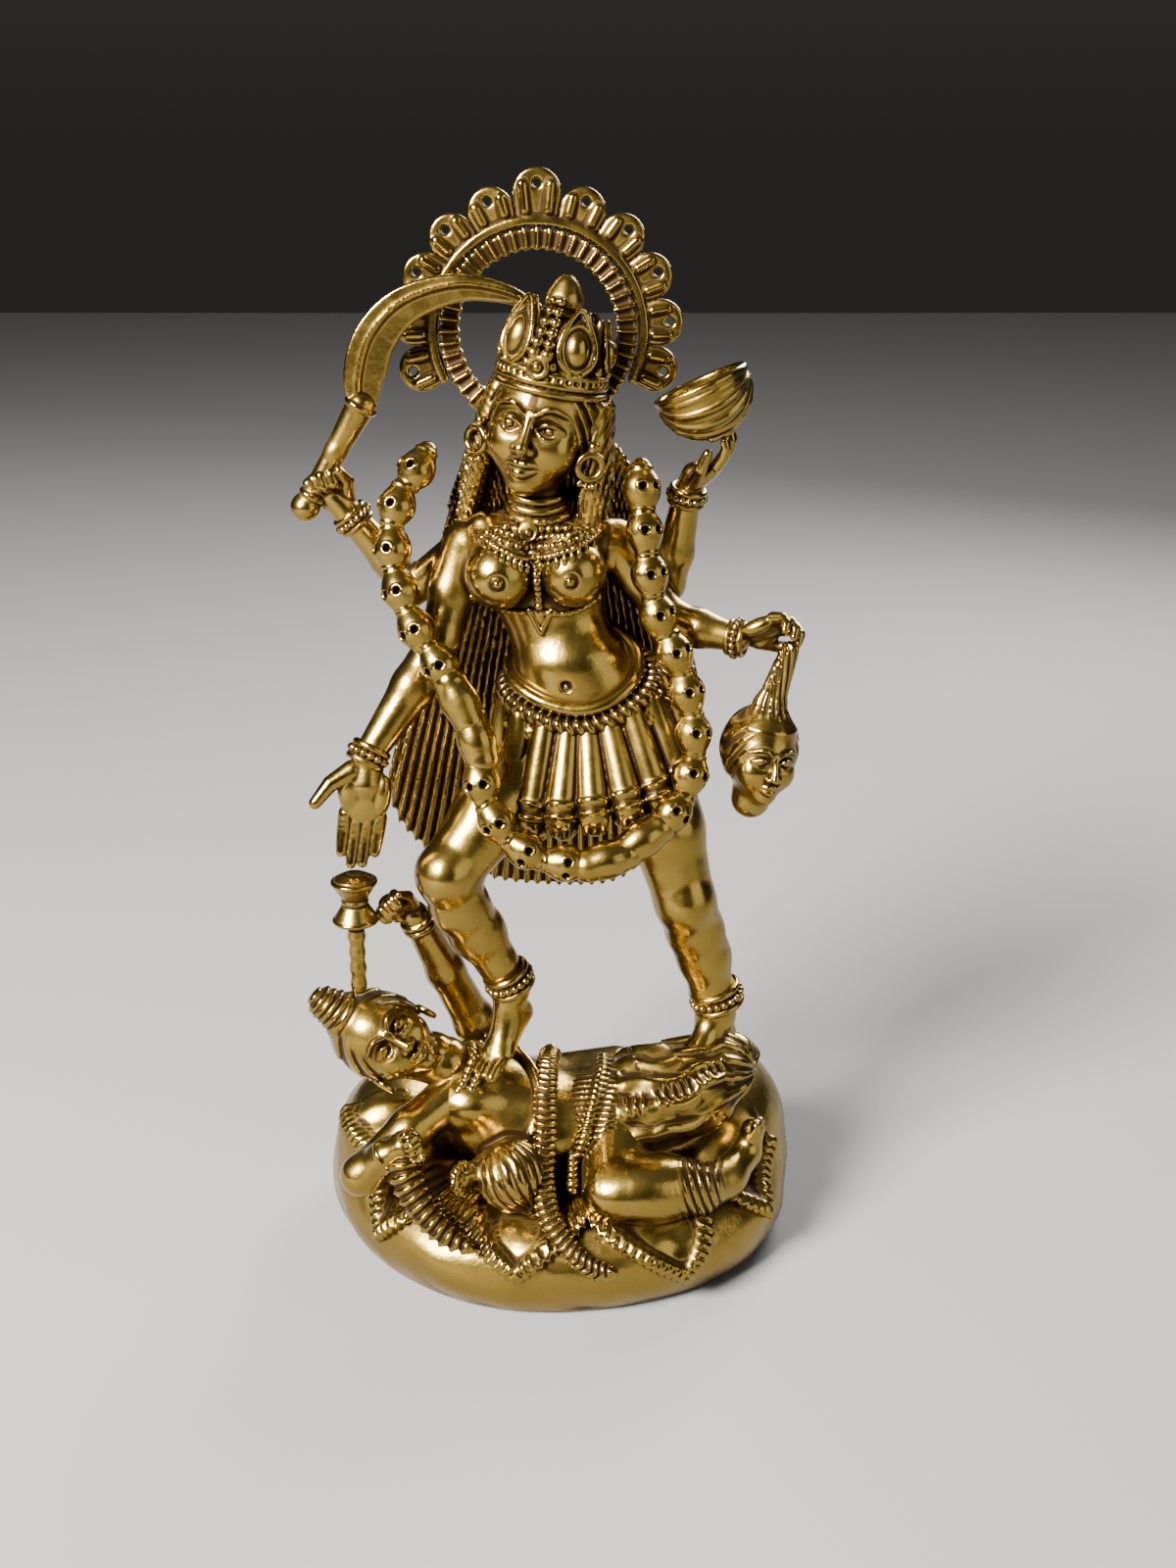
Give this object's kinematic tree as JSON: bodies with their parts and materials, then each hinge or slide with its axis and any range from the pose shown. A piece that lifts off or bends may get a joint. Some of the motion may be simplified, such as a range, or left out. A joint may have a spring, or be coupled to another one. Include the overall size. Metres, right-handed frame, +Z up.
{
  "type": "hindu deity statue",
  "caption": "Small cast brass devotional figurine: a many-armed goddess with halo, curved blade and bead garland, standing on a reclining figure over a rocky oval plinth.",
  "frame": {"origin": "centre of the plinth's flat underside, where it rests", "axes": "+Z up along the figure's height; the front faces -Y; +X is on the viewer's right"},
  "size_m": [0.0703, 0.059, 0.1499],
  "materials": {
    "polished_brass": "polished on the high points, warm golden",
    "chased_brass": "chased and tooled, dark patina in the recesses",
    "cast_brass": "as cast and brushed, brown patina in the hollows"
  },
  "bodies": {
    "root": {"hide_drape": "cast_brass", "rock_plinth": "cast_brass", "drum_staff": "chased_brass", "raised_arm": "polished_brass", "reclining_head": "polished_brass", "sash": "chased_brass", "near_arm": "polished_brass", "serpent": "chased_brass", "bead_collar": "chased_brass", "near_leg": "polished_brass", "reclining_torso": "polished_brass", "loincloth": "cast_brass", "standing_torso": "polished_brass", "standing_head": "polished_brass", "palm_arm": "polished_brass", "grip_arm": "polished_brass", "sword_arm": "polished_brass", "bowl_arm": "polished_brass", "right_leg": "polished_brass", "left_leg": "polished_brass", "hair_mantle": "cast_brass", "waist_belt": "chased_brass", "arm_apron": "chased_brass", "crown": "chased_brass", "sword_grip": "polished_brass", "sword_blade": "polished_brass", "skull_bowl": "polished_brass", "sword_bracelet": "chased_brass", "bowl_bracelet": "chased_brass", "palm_bracelet": "chased_brass", "grip_bracelet": "chased_brass", "right_anklet": "chased_brass", "left_anklet": "chased_brass", "severed_head": "polished_brass", "necklace_collar": "chased_brass", "skull_bead_01": "polished_brass", "skull_bead_02": "polished_brass", "skull_bead_03": "polished_brass", "skull_bead_04": "polished_brass", "skull_bead_05": "polished_brass", "skull_bead_06": "polished_brass", "skull_bead_07": "polished_brass", "skull_bead_08": "polished_brass", "skull_bead_09": "polished_brass", "skull_bead_10": "polished_brass", "skull_bead_11": "polished_brass", "skull_bead_12": "polished_brass", "skull_bead_13": "polished_brass", "skull_bead_14": "polished_brass", "skull_bead_15": "polished_brass", "skull_bead_16": "polished_brass", "skull_bead_17": "polished_brass", "skull_bead_18": "polished_brass", "skull_bead_19": "polished_brass", "skull_bead_20": "polished_brass", "skull_bead_21": "polished_brass", "skull_bead_22": "polished_brass", "skull_bead_23": "polished_brass", "halo_ring": "chased_brass", "halo_petals": "chased_brass"}
  },
  "joints": []
}
